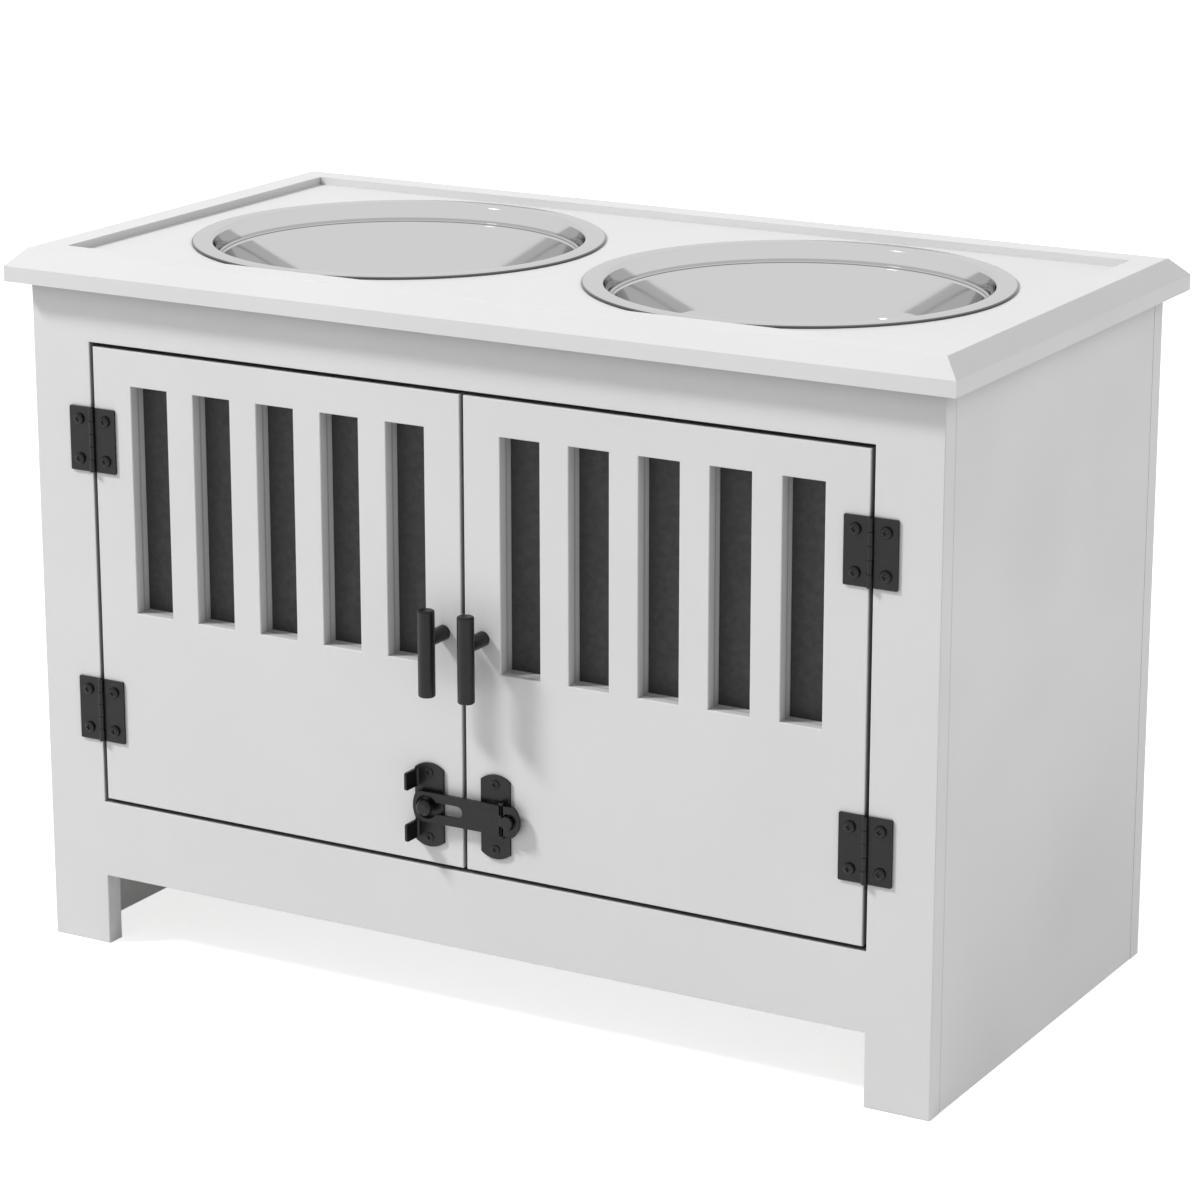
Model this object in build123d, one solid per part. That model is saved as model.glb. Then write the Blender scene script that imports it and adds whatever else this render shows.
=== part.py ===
from build123d import *
import os

# Raised feeding cabinet for a dog: a tray top with two lift-out bowls over a cupboard with two doors.
# Model axes: X across the front, 0 at the centre line; Y backwards, 0 at the front face; Z up, 0 at
# the floor. Lengths are in millimetres.

# ---- cabinet body ----
body_width = 580.0
body_depth = 290.0
body_height = 400.0
board = 12.0
leg_width = 39.5
toe_height = 43.0
rail_height = 46.5
header_height = 32.5
edge_ease = 0.6
cleat_width = 20.0
cleat_height = 18.0
cleat_screw_shares = (0.12, 0.5, 0.88)
cleat_screw_stagger = 15.0

# ---- tray top ----
rim_width = 26.5
rim_edge = 9.0
rim_chamfer = 10.0
side_overhang = 10.5
front_overhang = 12.0
back_overhang = 13.5
tray_recess = 4.5

# ---- bowls ----
bowl_flange_radius = 121.3
bowl_flange_width = 12.3
bowl_lip_height = 1.4
bowl_sheet = 1.0
bowl_collar_depth = 10.5
bowl_collar_lean = 2.2
bowl_step = 2.8
bowl_depth = 45.0
bowl_wall_lean = 7.0
bowl_floor_bend = 14.0
bowl_small_bend = 2.5
bowl_lip_bend = 1.2
bowl_collar_bend = 1.4
bowl_pitch = 263.0
bowl_hole_clearance = 1.2
bowl_seat_gap = 0.1

# ---- doors ----
door_gap = 2.4
centre_gap = 2.4
hinge_stile = 26.0
meeting_stile = 23.1
slat_width = 18.15
slot_count = 5
slot_top_margin = 20.8
lower_panel_height = 117.5
backing_thickness = 3.0
backing_lap = 5.0
backing_screw_inset = 8.0

# ---- butt hinges ----
hinge_height = 38.0
hinge_reach = 15.8
hinge_leaf = 1.2
hinge_inset = 55.0
hinge_barrel_radius = 1.7
hinge_barrel_gap = 0.1
hinge_pin_radius = 0.8
hinge_corner = 0.7
knuckle_count = 5
knuckle_gap = 0.15
knuckle_sweep_gap = 0.25
hinge_screw_offset = 9.0
hinge_screw_spacing = 23.5

# ---- T-handles ----
handle_length = 50.0
handle_radius = 4.85
handle_end_round = 1.2
handle_stem_radius = 4.35
handle_standoff = 18.0
handle_stem_height = 136.7
handle_top_length = 17.5
handle_socket_depth = 4.0
handle_screw_radius = 2.0
handle_screw_grip = 9.0
handle_screw_head = 2.2
handle_screw_head_radius = 3.9

# ---- swing latch ----
latch_height = 34.5
latch_plate_width = 18.8
latch_plate_height = 49.4
latch_plate_bulge = 3.4
latch_sheet = 1.5
latch_screw_spacing = 38.3
keeper_offset = 22.5
base_offset = 20.9
lug_height = 10.4
lug_spread = 20.0
lug_reach = 12.8
lug_bend = 1.4
bar_height = 17.6
bar_sheet = 1.8
bar_clearance = 2.1
bar_end_margin = 2.1
bar_end_bulge = 2.6
bar_corner = 1.2
keyhole_radius = 7.0
keyhole_offset = 0.6
key_slot_height = 7.2
key_slot_length = 23.5
knob_neck_radius = 2.8
knob_head_radius = 4.9
knob_head_height = 3.4
knob_play = 1.0
latch_pin_radius = 0.8
latch_pin_offset = 5.7
latch_pin_overhang = 0.3
latch_knuckle_radius = 1.5
latch_knuckle_height = 6.4
bar_hinge_setback = 1.1
ear_thickness = 1.6
ear_gap = 0.2
boss_radius = 9.7
boss_clearance = 0.3
hub_setback = 1.7
hub_length = 10.2
hub_bulge = 3.9
cup_offset = 10.6
cup_radius = 5.4
cup_wall = 0.8
cup_floor = 0.8
stud_neck_radius = 2.4
stud_head_radius = 3.8
stud_head_height = 2.1
stud_head_gap = 0.6
stud_head_round = 0.5

# ---- screws and dowels ----
screw_head_radius = 3.4
screw_head_height = 1.9
screw_shank_radius = 1.4
screw_cover = 3.0
cross_length = 3.0
cross_width = 0.8
cross_depth = 0.7
crown_share = 0.8
small_screw_head_radius = 2.6
small_screw_head_height = 0.9
small_screw_shank_radius = 1.1
flat_screw_head_radius = 2.7
flat_screw_head_height = 0.8
dowel_radius = 3.0
dowel_length = 28.0
dowel_cover = 3.0
dowel_end_gap = 0.5
dowel_end_margin = 70.0
rim_dowel_length = 22.0

# ---- fits ----
hole_clearance = 0.05
running_clearance = 0.05
pocket_clearance = 0.2
same_place = 0.01

# ---- sizes that follow from the ones above ----
half_width = body_width / 2
inner_half_width = half_width - board
opening_half_width = half_width - leg_width
opening_bottom = toe_height + rail_height
opening_top = body_height - header_height
shelf_bottom = opening_bottom - board
inner_back = body_depth - board
screw_bite = board - screw_cover

rim_height = rim_edge + rim_chamfer
tray_thickness = rim_height - tray_recess
tray_top = body_height + tray_thickness
rim_half_width = half_width + side_overhang
rim_front = -front_overhang
rim_back = body_depth + back_overhang
tray_half_width = rim_half_width - rim_width
tray_front = rim_front + rim_width
tray_back = rim_back - rim_width
tray_middle = (tray_front + tray_back) / 2
rim_ends = {"front": (rim_front, tray_front), "back": (rim_back, tray_back)}
rim_corners = {
    "rim_front": ((-1, "front"), (1, "front")),
    "rim_back": ((-1, "back"), (1, "back")),
    "rim_left": ((-1, "front"), (-1, "back")),
    "rim_right": ((1, "front"), (1, "back")),
}

bowl_mouth_radius = bowl_flange_radius - bowl_flange_width
bowl_collar_radius = bowl_mouth_radius - bowl_collar_lean
bowl_wall_radius = bowl_collar_radius - bowl_step
bowl_floor_radius = bowl_wall_radius - bowl_wall_lean
bowl_hole_radius = bowl_mouth_radius + bowl_sheet + bowl_hole_clearance

door_bottom = opening_bottom + door_gap
door_top = opening_top - door_gap
door_outer = opening_half_width - door_gap
door_inner = centre_gap / 2
door_width = door_outer - door_inner
slot_width = (door_width - hinge_stile - meeting_stile - (slot_count - 1) * slat_width) / slot_count
slot_pitch = slot_width + slat_width
slot_bottom = door_bottom + lower_panel_height
slot_top = door_top - slot_top_margin

hinge_axis_x = opening_half_width - door_gap / 2
hinge_axis_y = -(hinge_barrel_radius + hinge_barrel_gap)
knuckle_height = hinge_height / knuckle_count
hinge_heights = (door_bottom + hinge_inset, door_top - hinge_inset)

handle_x = door_inner + meeting_stile / 2
handle_stem_z = door_bottom + handle_stem_height
handle_top = handle_stem_z + handle_top_length

latch_z = door_bottom + latch_height
bar_back = latch_sheet + bar_clearance
bar_front = bar_back + bar_sheet
latch_pin_x = base_offset + latch_pin_offset
latch_pin_y = -(bar_back + bar_front) / 2
bar_left = -(keeper_offset + keyhole_radius + bar_end_margin) + keyhole_offset
bar_right = latch_pin_x - bar_hinge_setback
ear_start = bar_height / 2 + ear_gap
boss_front = bar_back - boss_clearance
hub_left = latch_pin_x + hub_setback
hub_right = hub_left + hub_length
cup_x = base_offset + cup_offset
knob_reach = bar_front + knob_play + knob_head_height

front_reach = max(handle_standoff + handle_radius, front_overhang, lug_reach, knob_reach)
origin_y = (rim_back - front_reach) / 2


# ---- shared shapes ----
def block(x_low, x_high, y_low, y_high, z_low, z_high):
    """A box given by its lowest and highest corners."""
    size = (x_high - x_low, y_high - y_low, z_high - z_low)
    return Pos((x_low + x_high) / 2, (y_low + y_high) / 2, (z_low + z_high) / 2) * Box(*size)


def rod(x, y, z, radius, length, direction=(0, 0, 1)):
    """A cylinder that starts at a point and runs along a direction."""
    return extrude(Plane((x, y, z), z_dir=direction) * Circle(radius), length)


def eased(solid, axis, position):
    """Rounds every edge that lies in the plane square to an axis at a position."""
    edges = solid.edges().filter_by_position(axis, position - same_place, position + same_place)
    return fillet(edges, edge_ease)


def mirrored(solid):
    """The same piece on the other side of the centre line."""
    return mirror(solid, about=Plane.YZ)


def group(solids):
    """Like solids kept apart in one node."""
    return Compound([solid.solid() for solid in solids])


def with_holes(panel, tools):
    """Cuts a list of holes in a panel."""
    for tool in tools:
        panel -= tool
    return panel


# ---- screws and dowels ----
def pan_screw(x, y, z, bite, direction, head_radius, head_height, shank_radius):
    """A cross-recess screw. The point is under its head, and the direction runs from there inwards."""
    seat = Plane((x, y, z), z_dir=direction)
    top = seat.offset(-head_height)
    head = extrude(top * Circle(head_radius), head_height)
    crown = head.edges().sort_by(Axis((x, y, z), direction))[0]
    head = fillet(crown, head_height * crown_share)
    for size in ((cross_length, cross_width), (cross_width, cross_length)):
        head -= extrude(top * Rectangle(*size), cross_depth)
    return head + extrude(seat * Circle(shank_radius), bite)


def wood_screw(x, y, z, bite=screw_bite, direction=(0, 1, 0)):
    """A screw that holds ironmongery or a cleat, with its head on the given point."""
    return pan_screw(x, y, z, bite, direction, screw_head_radius, screw_head_height, screw_shank_radius)


def screw_hole(x, y, z, depth, direction=(0, 1, 0)):
    """The hole that a wood screw fills."""
    return rod(x, y, z, screw_shank_radius + hole_clearance, depth, direction)


def board_dowel_points():
    """Where the level dowels of the side panels start, and which way they run."""
    margin = dowel_end_margin
    heights = (margin, body_height / 2, body_height - margin)
    starts = ((dowel_cover, (0, 1, 0)), (body_depth - dowel_cover, (0, -1, 0)))
    x = half_width - board / 2
    return [(side * x, y, z, along) for side in (-1, 1) for z in heights for y, along in starts]


def rim_dowel_points():
    """Where the upright dowels between the body and the rim stand."""
    z = body_height - rim_dowel_length / 2
    middle_x = half_width - dowel_end_margin
    near_y, far_y = dowel_end_margin, body_depth - dowel_end_margin
    edge_x, edge_y = half_width - board / 2, board / 2
    across = [(x, y, z) for x in (-middle_x, 0, middle_x) for y in (edge_y, body_depth - edge_y)]
    along = [(x, y, z) for x in (-edge_x, edge_x) for y in (near_y, far_y)]
    return across + along


def board_dowel_holes():
    """The holes that the level dowels fill, a little deeper than the dowels."""
    radius = dowel_radius + hole_clearance
    length = dowel_length + 2 * dowel_end_gap
    points = board_dowel_points()
    return [rod(x, y - along[1] * dowel_end_gap, z, radius, length, along) for x, y, z, along in points]


def rim_dowel_holes():
    """The holes that the upright dowels fill, a little deeper than the dowels."""
    radius = dowel_radius + hole_clearance
    length = rim_dowel_length + 2 * dowel_end_gap
    return [rod(x, y, z - dowel_end_gap, radius, length) for x, y, z in rim_dowel_points()]


def board_dowels():
    return group([rod(x, y, z, dowel_radius, dowel_length, along) for x, y, z, along in board_dowel_points()])


def rim_dowels():
    return group([rod(x, y, z, dowel_radius, rim_dowel_length) for x, y, z in rim_dowel_points()])


# ---- cabinet body ----
def toe_cut(y_low, y_high):
    """The space between the legs of a front or back board."""
    return block(-opening_half_width, opening_half_width, y_low, y_high, 0, toe_height)


def front_frame():
    """The front board, with the door opening, the toe space and the holes of the hinge screws."""
    frame = block(-half_width, half_width, 0, board, 0, body_height) - toe_cut(0, board)
    frame -= block(-opening_half_width, opening_half_width, 0, board, opening_bottom, opening_top)
    points = hinge_screw_points(1)
    return with_holes(
        eased(frame, Axis.Y, 0),
        [screw_hole(side * x, 0, z, screw_bite) for side in (-1, 1) for x, z in points],
    )


def side_panel_left():
    panel = block(-half_width, -inner_half_width, board, inner_back, 0, body_height)
    panel = eased(panel, Axis.X, -half_width)
    return with_holes(panel, cleat_side_holes(shelf_bottom) + cleat_side_holes(body_height))


def back_panel():
    panel = block(-half_width, half_width, inner_back, body_depth, 0, body_height)
    panel -= toe_cut(inner_back, body_depth)
    return eased(panel, Axis.Y, body_depth)


def bottom_shelf():
    """The floor of the cupboard, level with the lower edge of the door opening."""
    return block(-inner_half_width, inner_half_width, board, inner_back, shelf_bottom, opening_bottom)


def cleat_rows():
    """Where the screws stand along a cleat."""
    reach = inner_back - board
    return [board + reach * share for share in cleat_screw_shares]


def cleat_side_points(side, top):
    """Heads of the screws that run through a cleat into the side panel."""
    x = side * (inner_half_width - cleat_width)
    return [(x, y, top - cleat_height / 2) for y in cleat_rows()]


def cleat_top_points(side, top):
    """Heads of the screws that run up through a cleat into the board it carries."""
    x = side * (tray_half_width + inner_half_width - cleat_width) / 2
    return [(x, y + cleat_screw_stagger, top - cleat_height) for y in cleat_rows()]


def cleat_side_holes(top):
    """The level screw holes of the left-hand cleat under a board."""
    depth = cleat_width + screw_bite
    return [screw_hole(x, y, z, depth, (-1, 0, 0)) for x, y, z in cleat_side_points(-1, top)]


def cleat_top_holes(top):
    """The upright screw holes of both cleats under a board."""
    points = cleat_top_points(-1, top) + cleat_top_points(1, top)
    return [screw_hole(x, y, z, cleat_height + screw_bite, (0, 0, 1)) for x, y, z in points]


def cleat_left(top):
    """A strip along the side panel, with its upper face under a board."""
    inner = -(inner_half_width - cleat_width)
    cleat = block(-inner_half_width, inner, board, inner_back, top - cleat_height, top)
    return with_holes(cleat, cleat_side_holes(top) + cleat_top_holes(top))


def cleat_screws():
    """All the screws of the four cleats."""
    screws = []
    for side in (-1, 1):
        for top in (shelf_bottom, body_height):
            for point in cleat_side_points(side, top):
                screws.append(wood_screw(*point, cleat_width + screw_bite, (side, 0, 0)))
            for point in cleat_top_points(side, top):
                screws.append(wood_screw(*point, cleat_height + screw_bite, (0, 0, 1)))
    return group(screws)


# ---- tray top ----
def tray_board():
    """The board between the mouldings, with the two round holes."""
    tray = block(-tray_half_width, tray_half_width, tray_front, tray_back, body_height, tray_top)
    for side in (-1, 1):
        tray -= rod(side * bowl_pitch / 2, tray_middle, body_height, bowl_hole_radius, tray_thickness)
    return tray


def rim_ring():
    """The four mouldings as one ring, before the mitres."""
    low, high = body_height, body_height + rim_height
    ring = block(-rim_half_width, rim_half_width, rim_front, rim_back, low, high)
    ring = chamfer(ring.faces().sort_by(Axis.Z)[-1].edges(), rim_chamfer)
    for level in (high, low + rim_edge):
        ring = eased(ring, Axis.Z, level)
    ring -= block(-tray_half_width, tray_half_width, tray_front, tray_back, low, high)
    return with_holes(ring, rim_dowel_holes())


def rim_piece(ring, ends):
    """The part of the ring between two corners, each named by its side and its end of the cabinet."""
    outer = [(side * rim_half_width, rim_ends[end][0]) for side, end in ends]
    inner = [(side * tray_half_width, rim_ends[end][1]) for side, end in ends]
    outline = make_face(Polyline(outer[0], outer[1], inner[1], inner[0], close=True))
    return ring & extrude(Pos(0, 0, body_height) * outline, rim_height)


def bowl(x):
    """A deep dish with a collar step, whose flange lies on the tray on a rolled lip."""
    top = bowl_lip_height
    collar = top - bowl_collar_depth
    floor = top - bowl_depth
    inside = FilletPolyline(
        (bowl_flange_radius, 0),
        (bowl_flange_radius, top),
        (bowl_mouth_radius, top),
        (bowl_collar_radius, collar),
        (bowl_wall_radius, collar),
        (bowl_floor_radius, floor),
        (0, floor),
        radius=[bowl_lip_bend, bowl_small_bend, bowl_collar_bend, bowl_collar_bend, bowl_floor_bend],
    )
    sheet = make_face(Plane.XZ * offset(inside, amount=bowl_sheet, side=Side.LEFT))
    return Pos(x, tray_middle, tray_top + bowl_seat_gap) * revolve(sheet, Axis.Z)


# ---- doors ----
def slot_lefts():
    """The side of each slot that is nearer the hinges, measured from the centre line."""
    return [door_outer - hinge_stile - index * slot_pitch for index in range(slot_count)]


def door_right():
    """The right-hand door, with its slots and the holes of everything it carries but the latch."""
    door = block(door_inner, door_outer, 0, board, door_bottom, door_top)
    for x in slot_lefts():
        door -= block(x - slot_width, x, 0, board, slot_bottom, slot_top)
    door = eased(door, Axis.Y, 0)
    door -= rod(handle_x, 0, handle_stem_z, handle_screw_radius + hole_clearance, board, (0, 1, 0))
    door = with_holes(door, [screw_hole(x, 0, z, screw_bite) for x, z in hinge_screw_points(-1)])
    return with_holes(door, backing_screw_holes())


def backing_right():
    """The dark panel that closes the slots from behind."""
    x_low = slot_lefts()[-1] - slot_width - backing_lap
    x_high = slot_lefts()[0] + backing_lap
    z_low, z_high = slot_bottom - backing_lap, slot_top + backing_lap
    panel = block(x_low, x_high, board, board + backing_thickness, z_low, z_high)
    return with_holes(panel, backing_screw_holes())


def backing_screw_points():
    """Screws through the backing into the slats, near the slots' ends."""
    slats = [slot_lefts()[index] + slat_width / 2 for index in range(1, slot_count)]
    reach = (slot_top - slot_bottom) / 2 - backing_screw_inset
    middle = (slot_top + slot_bottom) / 2
    y = board + backing_thickness
    return [(x, y, middle + way * reach) for x in (slats[0], slats[-1]) for way in (-1, 1)]


def backing_screw_holes():
    """The holes through the backing into the slats."""
    radius = small_screw_shank_radius + hole_clearance
    depth = backing_thickness + screw_bite
    return [rod(*point, radius, depth, (0, -1, 0)) for point in backing_screw_points()]


def backing_screws_right():
    bite = backing_thickness + screw_bite
    sizes = (small_screw_head_radius, small_screw_head_height, small_screw_shank_radius)
    return group([pan_screw(*point, bite, (0, -1, 0), *sizes) for point in backing_screw_points()])


# ---- butt hinges ----
def hinge_screw_points(side):
    """Screws of the right-hand hinges on one side of the axis. Side 1 is the frame, -1 the door."""
    rises = (-hinge_screw_spacing / 2, hinge_screw_spacing / 2)
    x = hinge_axis_x + side * hinge_screw_offset
    return [(x, z + rise) for z in hinge_heights for rise in rises]


def hinge_half(z, side, knuckles):
    """One leaf of a right-hand hinge with its own knuckles. Side 1 is the frame leaf, -1 the door leaf."""
    low = z - hinge_height / 2
    edge = hinge_axis_x + side * hinge_reach
    leaf = block(min(edge, hinge_axis_x), max(edge, hinge_axis_x), -hinge_leaf, 0, low, low + hinge_height)
    corners = leaf.edges().filter_by(Axis.Y).filter_by_position(Axis.X, edge - hinge_leaf, edge + hinge_leaf)
    leaf = fillet(corners, hinge_corner)
    for index in range(knuckle_count):
        start = low + index * knuckle_height
        if index in knuckles:
            length = knuckle_height - 2 * knuckle_gap
            leaf += rod(hinge_axis_x, hinge_axis_y, start + knuckle_gap, hinge_barrel_radius, length)
        else:
            sweep = hinge_barrel_radius + knuckle_sweep_gap
            leaf -= rod(hinge_axis_x, hinge_axis_y, start, sweep, knuckle_height)
    leaf -= rod(hinge_axis_x, hinge_axis_y, low, hinge_pin_radius + running_clearance, hinge_height)
    holes = [screw_hole(x, -hinge_leaf, screw_z, hinge_leaf) for x, screw_z in hinge_screw_points(side)]
    return with_holes(leaf, holes)


def hinge_pin(z):
    """The pin, level with both ends of the barrel."""
    return rod(hinge_axis_x, hinge_axis_y, z - hinge_height / 2, hinge_pin_radius, hinge_height)


def hinge_screws(side):
    """The screws that hold the right-hand hinges' leaves on one side of the axis."""
    bite = hinge_leaf + screw_bite
    return [wood_screw(x, -hinge_leaf, z, bite) for x, z in hinge_screw_points(side)]


# ---- T-handles ----
def handle_stem_right():
    """The stem between the door and the bar, tapped from behind for the handle screw."""
    end = handle_standoff - handle_radius + handle_socket_depth
    stem = rod(handle_x, 0, handle_stem_z, handle_stem_radius, end, (0, -1, 0))
    bore = handle_screw_radius + hole_clearance
    return stem - rod(handle_x, 0, handle_stem_z, bore, handle_screw_grip + hole_clearance, (0, -1, 0))


def handle_bar_right():
    low = handle_top - handle_length
    bar = rod(handle_x, -handle_standoff, low, handle_radius, handle_length)
    bar = fillet(bar.edges().filter_by(GeomType.CIRCLE), handle_end_round)
    socket_floor = handle_standoff - handle_radius + handle_socket_depth
    radius = handle_stem_radius + hole_clearance
    return bar - rod(handle_x, -socket_floor, handle_stem_z, radius, socket_floor, (0, 1, 0))


def handle_screw_right():
    sizes = (handle_screw_head_radius, handle_screw_head, handle_screw_radius)
    return pan_screw(handle_x, board, handle_stem_z, board + handle_screw_grip, (0, -1, 0), *sizes)


# ---- swing latch ----
def latch_screw_points(offset_x):
    """The two screws of a latch plate."""
    rises = (-latch_screw_spacing / 2, latch_screw_spacing / 2)
    return [(offset_x, -latch_sheet, latch_z + rise) for rise in rises]


def latch_screw_holes(offset_x):
    """The two holes through a latch plate into its door."""
    return [screw_hole(*point, latch_sheet + screw_bite) for point in latch_screw_points(offset_x)]


def latch_plate(offset_x):
    """A plate with bulged ends, its back on the door face, with two screw holes."""
    left, right = offset_x - latch_plate_width / 2, offset_x + latch_plate_width / 2
    top = latch_z + latch_plate_height / 2 - latch_plate_bulge
    bottom = latch_z - latch_plate_height / 2 + latch_plate_bulge
    outline = (
        Line((left, bottom), (left, top))
        + SagittaArc((left, top), (right, top), latch_plate_bulge)
        + Line((right, top), (right, bottom))
        + SagittaArc((right, bottom), (left, bottom), latch_plate_bulge)
    )
    return with_holes(extrude(Plane.XZ * make_face(outline), latch_sheet), latch_screw_holes(offset_x))


def latch_keeper():
    """The plate on the left door, with two lugs bent forward beside the bar's end."""
    plate = latch_plate(-keeper_offset)
    left = -keeper_offset - latch_plate_width / 2
    for way in (-1, 1):
        near, far = latch_z + way * lug_spread / 2, latch_z + way * (lug_spread / 2 + lug_height)
        lug = block(left, left + latch_sheet, -lug_reach, 0, min(near, far), max(near, far))
        nose = lug.edges().filter_by(Axis.X).filter_by_position(Axis.Y, -lug_reach, same_place - lug_reach)
        plate += fillet(nose, lug_bend)
    inner = left + latch_sheet
    bend = plate.edges().filter_by(Axis.Z)
    bend = bend.filter_by_position(Axis.Y, -latch_sheet - same_place, -latch_sheet + same_place)
    bend = bend.filter_by_position(Axis.X, inner - same_place, inner + same_place)
    plate = fillet(bend, lug_bend)
    return plate - rod(-keeper_offset, 0, latch_z, knob_neck_radius + hole_clearance, latch_sheet, (0, -1, 0))


def latch_knob():
    """A headed stud on the keeper plate, which the bar's keyhole passes over."""
    head_start = bar_front + knob_play
    neck = rod(-keeper_offset, 0, latch_z, knob_neck_radius, head_start, (0, -1, 0))
    head = rod(-keeper_offset, -head_start, latch_z, knob_head_radius, knob_head_height, (0, -1, 0))
    rims = head.edges().filter_by(GeomType.CIRCLE).sort_by(Axis.Y)
    head = fillet(rims[0], knob_head_height * crown_share)
    return neck + head


def latch_axis_rod(radius, reach):
    """A cylinder on the bar's hinge axis that reaches as far up as down."""
    return rod(latch_pin_x, latch_pin_y, latch_z - reach, radius, 2 * reach)


def latch_disc(x, radius, back, front):
    """A round piece square to the door, between two distances from the door face."""
    return rod(x, -back, latch_z, radius, front - back, (0, -1, 0))


def latch_hub():
    """The fixed end of the bar's line, which turns its round side away from the bar."""
    low, high = latch_z - bar_height / 2, latch_z + bar_height / 2
    right = hub_right - hub_bulge
    outline = (
        Line((hub_left, low), (hub_left, high))
        + Line((hub_left, high), (right, high))
        + SagittaArc((right, high), (right, low), hub_bulge)
        + Line((right, low), (hub_left, low))
    )
    return extrude(Plane.XZ.offset(bar_back) * make_face(outline), bar_sheet)


def latch_base():
    """The plate on the right door, with a boss, the ears of the pivot pin, the hub and its stud."""
    base = latch_plate(base_offset) + latch_disc(base_offset, boss_radius, latch_sheet, boss_front)
    base += latch_hub() + latch_disc(cup_x, cup_radius, latch_sheet, bar_back)
    floor = latch_sheet + cup_floor
    base -= latch_disc(cup_x, cup_radius - cup_wall, floor, bar_front)
    sides = (latch_pin_x - latch_knuckle_radius, latch_pin_x + latch_knuckle_radius)
    for low in (latch_z - ear_start - ear_thickness, latch_z + ear_start):
        base += rod(latch_pin_x, latch_pin_y, low, latch_knuckle_radius, ear_thickness)
        base += block(*sides, latch_pin_y, -latch_sheet, low, low + ear_thickness)
    pocket = latch_knuckle_height / 2 + pocket_clearance
    base -= latch_axis_rod(latch_knuckle_radius + pocket_clearance, pocket)
    base -= latch_axis_rod(latch_pin_radius + hole_clearance, ear_start + ear_thickness)
    head_back = bar_front + stud_head_gap
    head = latch_disc(cup_x, stud_head_radius, head_back, head_back + stud_head_height)
    head = fillet(head.edges().filter_by(GeomType.CIRCLE).sort_by(Axis.Y)[0], stud_head_round)
    return base + latch_disc(cup_x, stud_neck_radius, floor, head_back) + head


def latch_bar():
    """The keyhole bar, which swings forward about the pin on the right door."""
    low, high = latch_z - bar_height / 2, latch_z + bar_height / 2
    left = bar_left + bar_end_bulge
    outline = (
        Line((left, high), (bar_right, high))
        + Line((bar_right, high), (bar_right, low))
        + Line((bar_right, low), (left, low))
        + SagittaArc((left, low), (left, high), bar_end_bulge)
    )
    sheet = make_face(outline)
    sheet = fillet(sheet.vertices(), bar_corner)
    hole_x = keyhole_offset - keeper_offset
    slot_end = hole_x + key_slot_length - key_slot_height / 2
    sheet -= Pos(hole_x, latch_z) * Circle(keyhole_radius)
    sheet -= Pos((hole_x + slot_end) / 2, latch_z) * Rectangle(slot_end - hole_x, key_slot_height)
    sheet -= Pos(slot_end, latch_z) * Circle(key_slot_height / 2)
    half_neck = latch_knuckle_height / 2
    sheet += Pos((bar_right + latch_pin_x) / 2, latch_z) * Rectangle(bar_hinge_setback, 2 * half_neck)
    bar = extrude(Plane.XZ.offset(bar_back) * sheet, bar_sheet)
    bar += latch_axis_rod(latch_knuckle_radius, half_neck)
    return bar - latch_axis_rod(latch_pin_radius + running_clearance, bar_height / 2)


def latch_pin():
    return latch_axis_rod(latch_pin_radius, ear_start + ear_thickness + latch_pin_overhang)


def latch_screws(offset_x):
    """The two flat screws of a latch plate."""
    bite = latch_sheet + screw_bite
    sizes = (flat_screw_head_radius, flat_screw_head_height, screw_shank_radius)
    return group([pan_screw(*point, bite, (0, 1, 0), *sizes) for point in latch_screw_points(offset_x)])


# ---- the whole assembly ----
panel_holes = board_dowel_holes() + rim_dowel_holes()
side_left = with_holes(side_panel_left(), panel_holes)
frame_screws = hinge_screws(1)
door_screws = hinge_screws(-1)
door_blank = door_right()
rim_blank = rim_ring()

parts = {
    "front_frame": with_holes(front_frame(), panel_holes),
    "back_panel": with_holes(back_panel(), panel_holes),
    "side_panel_left": side_left,
    "side_panel_right": mirrored(side_left),
    "bottom_shelf": with_holes(bottom_shelf(), cleat_top_holes(shelf_bottom)),
    "shelf_cleat_left": cleat_left(shelf_bottom),
    "shelf_cleat_right": mirrored(cleat_left(shelf_bottom)),
    "tray_cleat_left": cleat_left(body_height),
    "tray_cleat_right": mirrored(cleat_left(body_height)),
    "cleat_screws": cleat_screws(),
    "board_dowels": board_dowels(),
    "rim_dowels": rim_dowels(),
    "tray_board": with_holes(tray_board(), cleat_top_holes(body_height)),
    "bowl_left": bowl(-bowl_pitch / 2),
    "bowl_right": bowl(bowl_pitch / 2),
    "door_left": with_holes(mirrored(door_blank), latch_screw_holes(-keeper_offset)),
    "door_right": with_holes(door_blank, latch_screw_holes(base_offset)),
    "door_backing_left": mirrored(backing_right()),
    "door_backing_right": backing_right(),
    "backing_screws_left": mirrored(backing_screws_right()),
    "backing_screws_right": backing_screws_right(),
    "hinge_frame_screws": group(frame_screws + [mirrored(screw) for screw in frame_screws]),
    "hinge_door_screws_left": group([mirrored(screw) for screw in door_screws]),
    "hinge_door_screws_right": group(door_screws),
    "handle_bar_left": mirrored(handle_bar_right()),
    "handle_bar_right": handle_bar_right(),
    "handle_stem_left": mirrored(handle_stem_right()),
    "handle_stem_right": handle_stem_right(),
    "handle_screw_left": mirrored(handle_screw_right()),
    "handle_screw_right": handle_screw_right(),
    "latch_keeper": latch_keeper(),
    "latch_keeper_screws": latch_screws(-keeper_offset),
    "latch_knob": latch_knob(),
    "latch_base": latch_base(),
    "latch_base_screws": latch_screws(base_offset),
    "latch_bar": latch_bar(),
    "latch_pin": latch_pin(),
}

for name, ends in rim_corners.items():
    parts[name] = rim_piece(rim_blank, ends)

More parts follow.
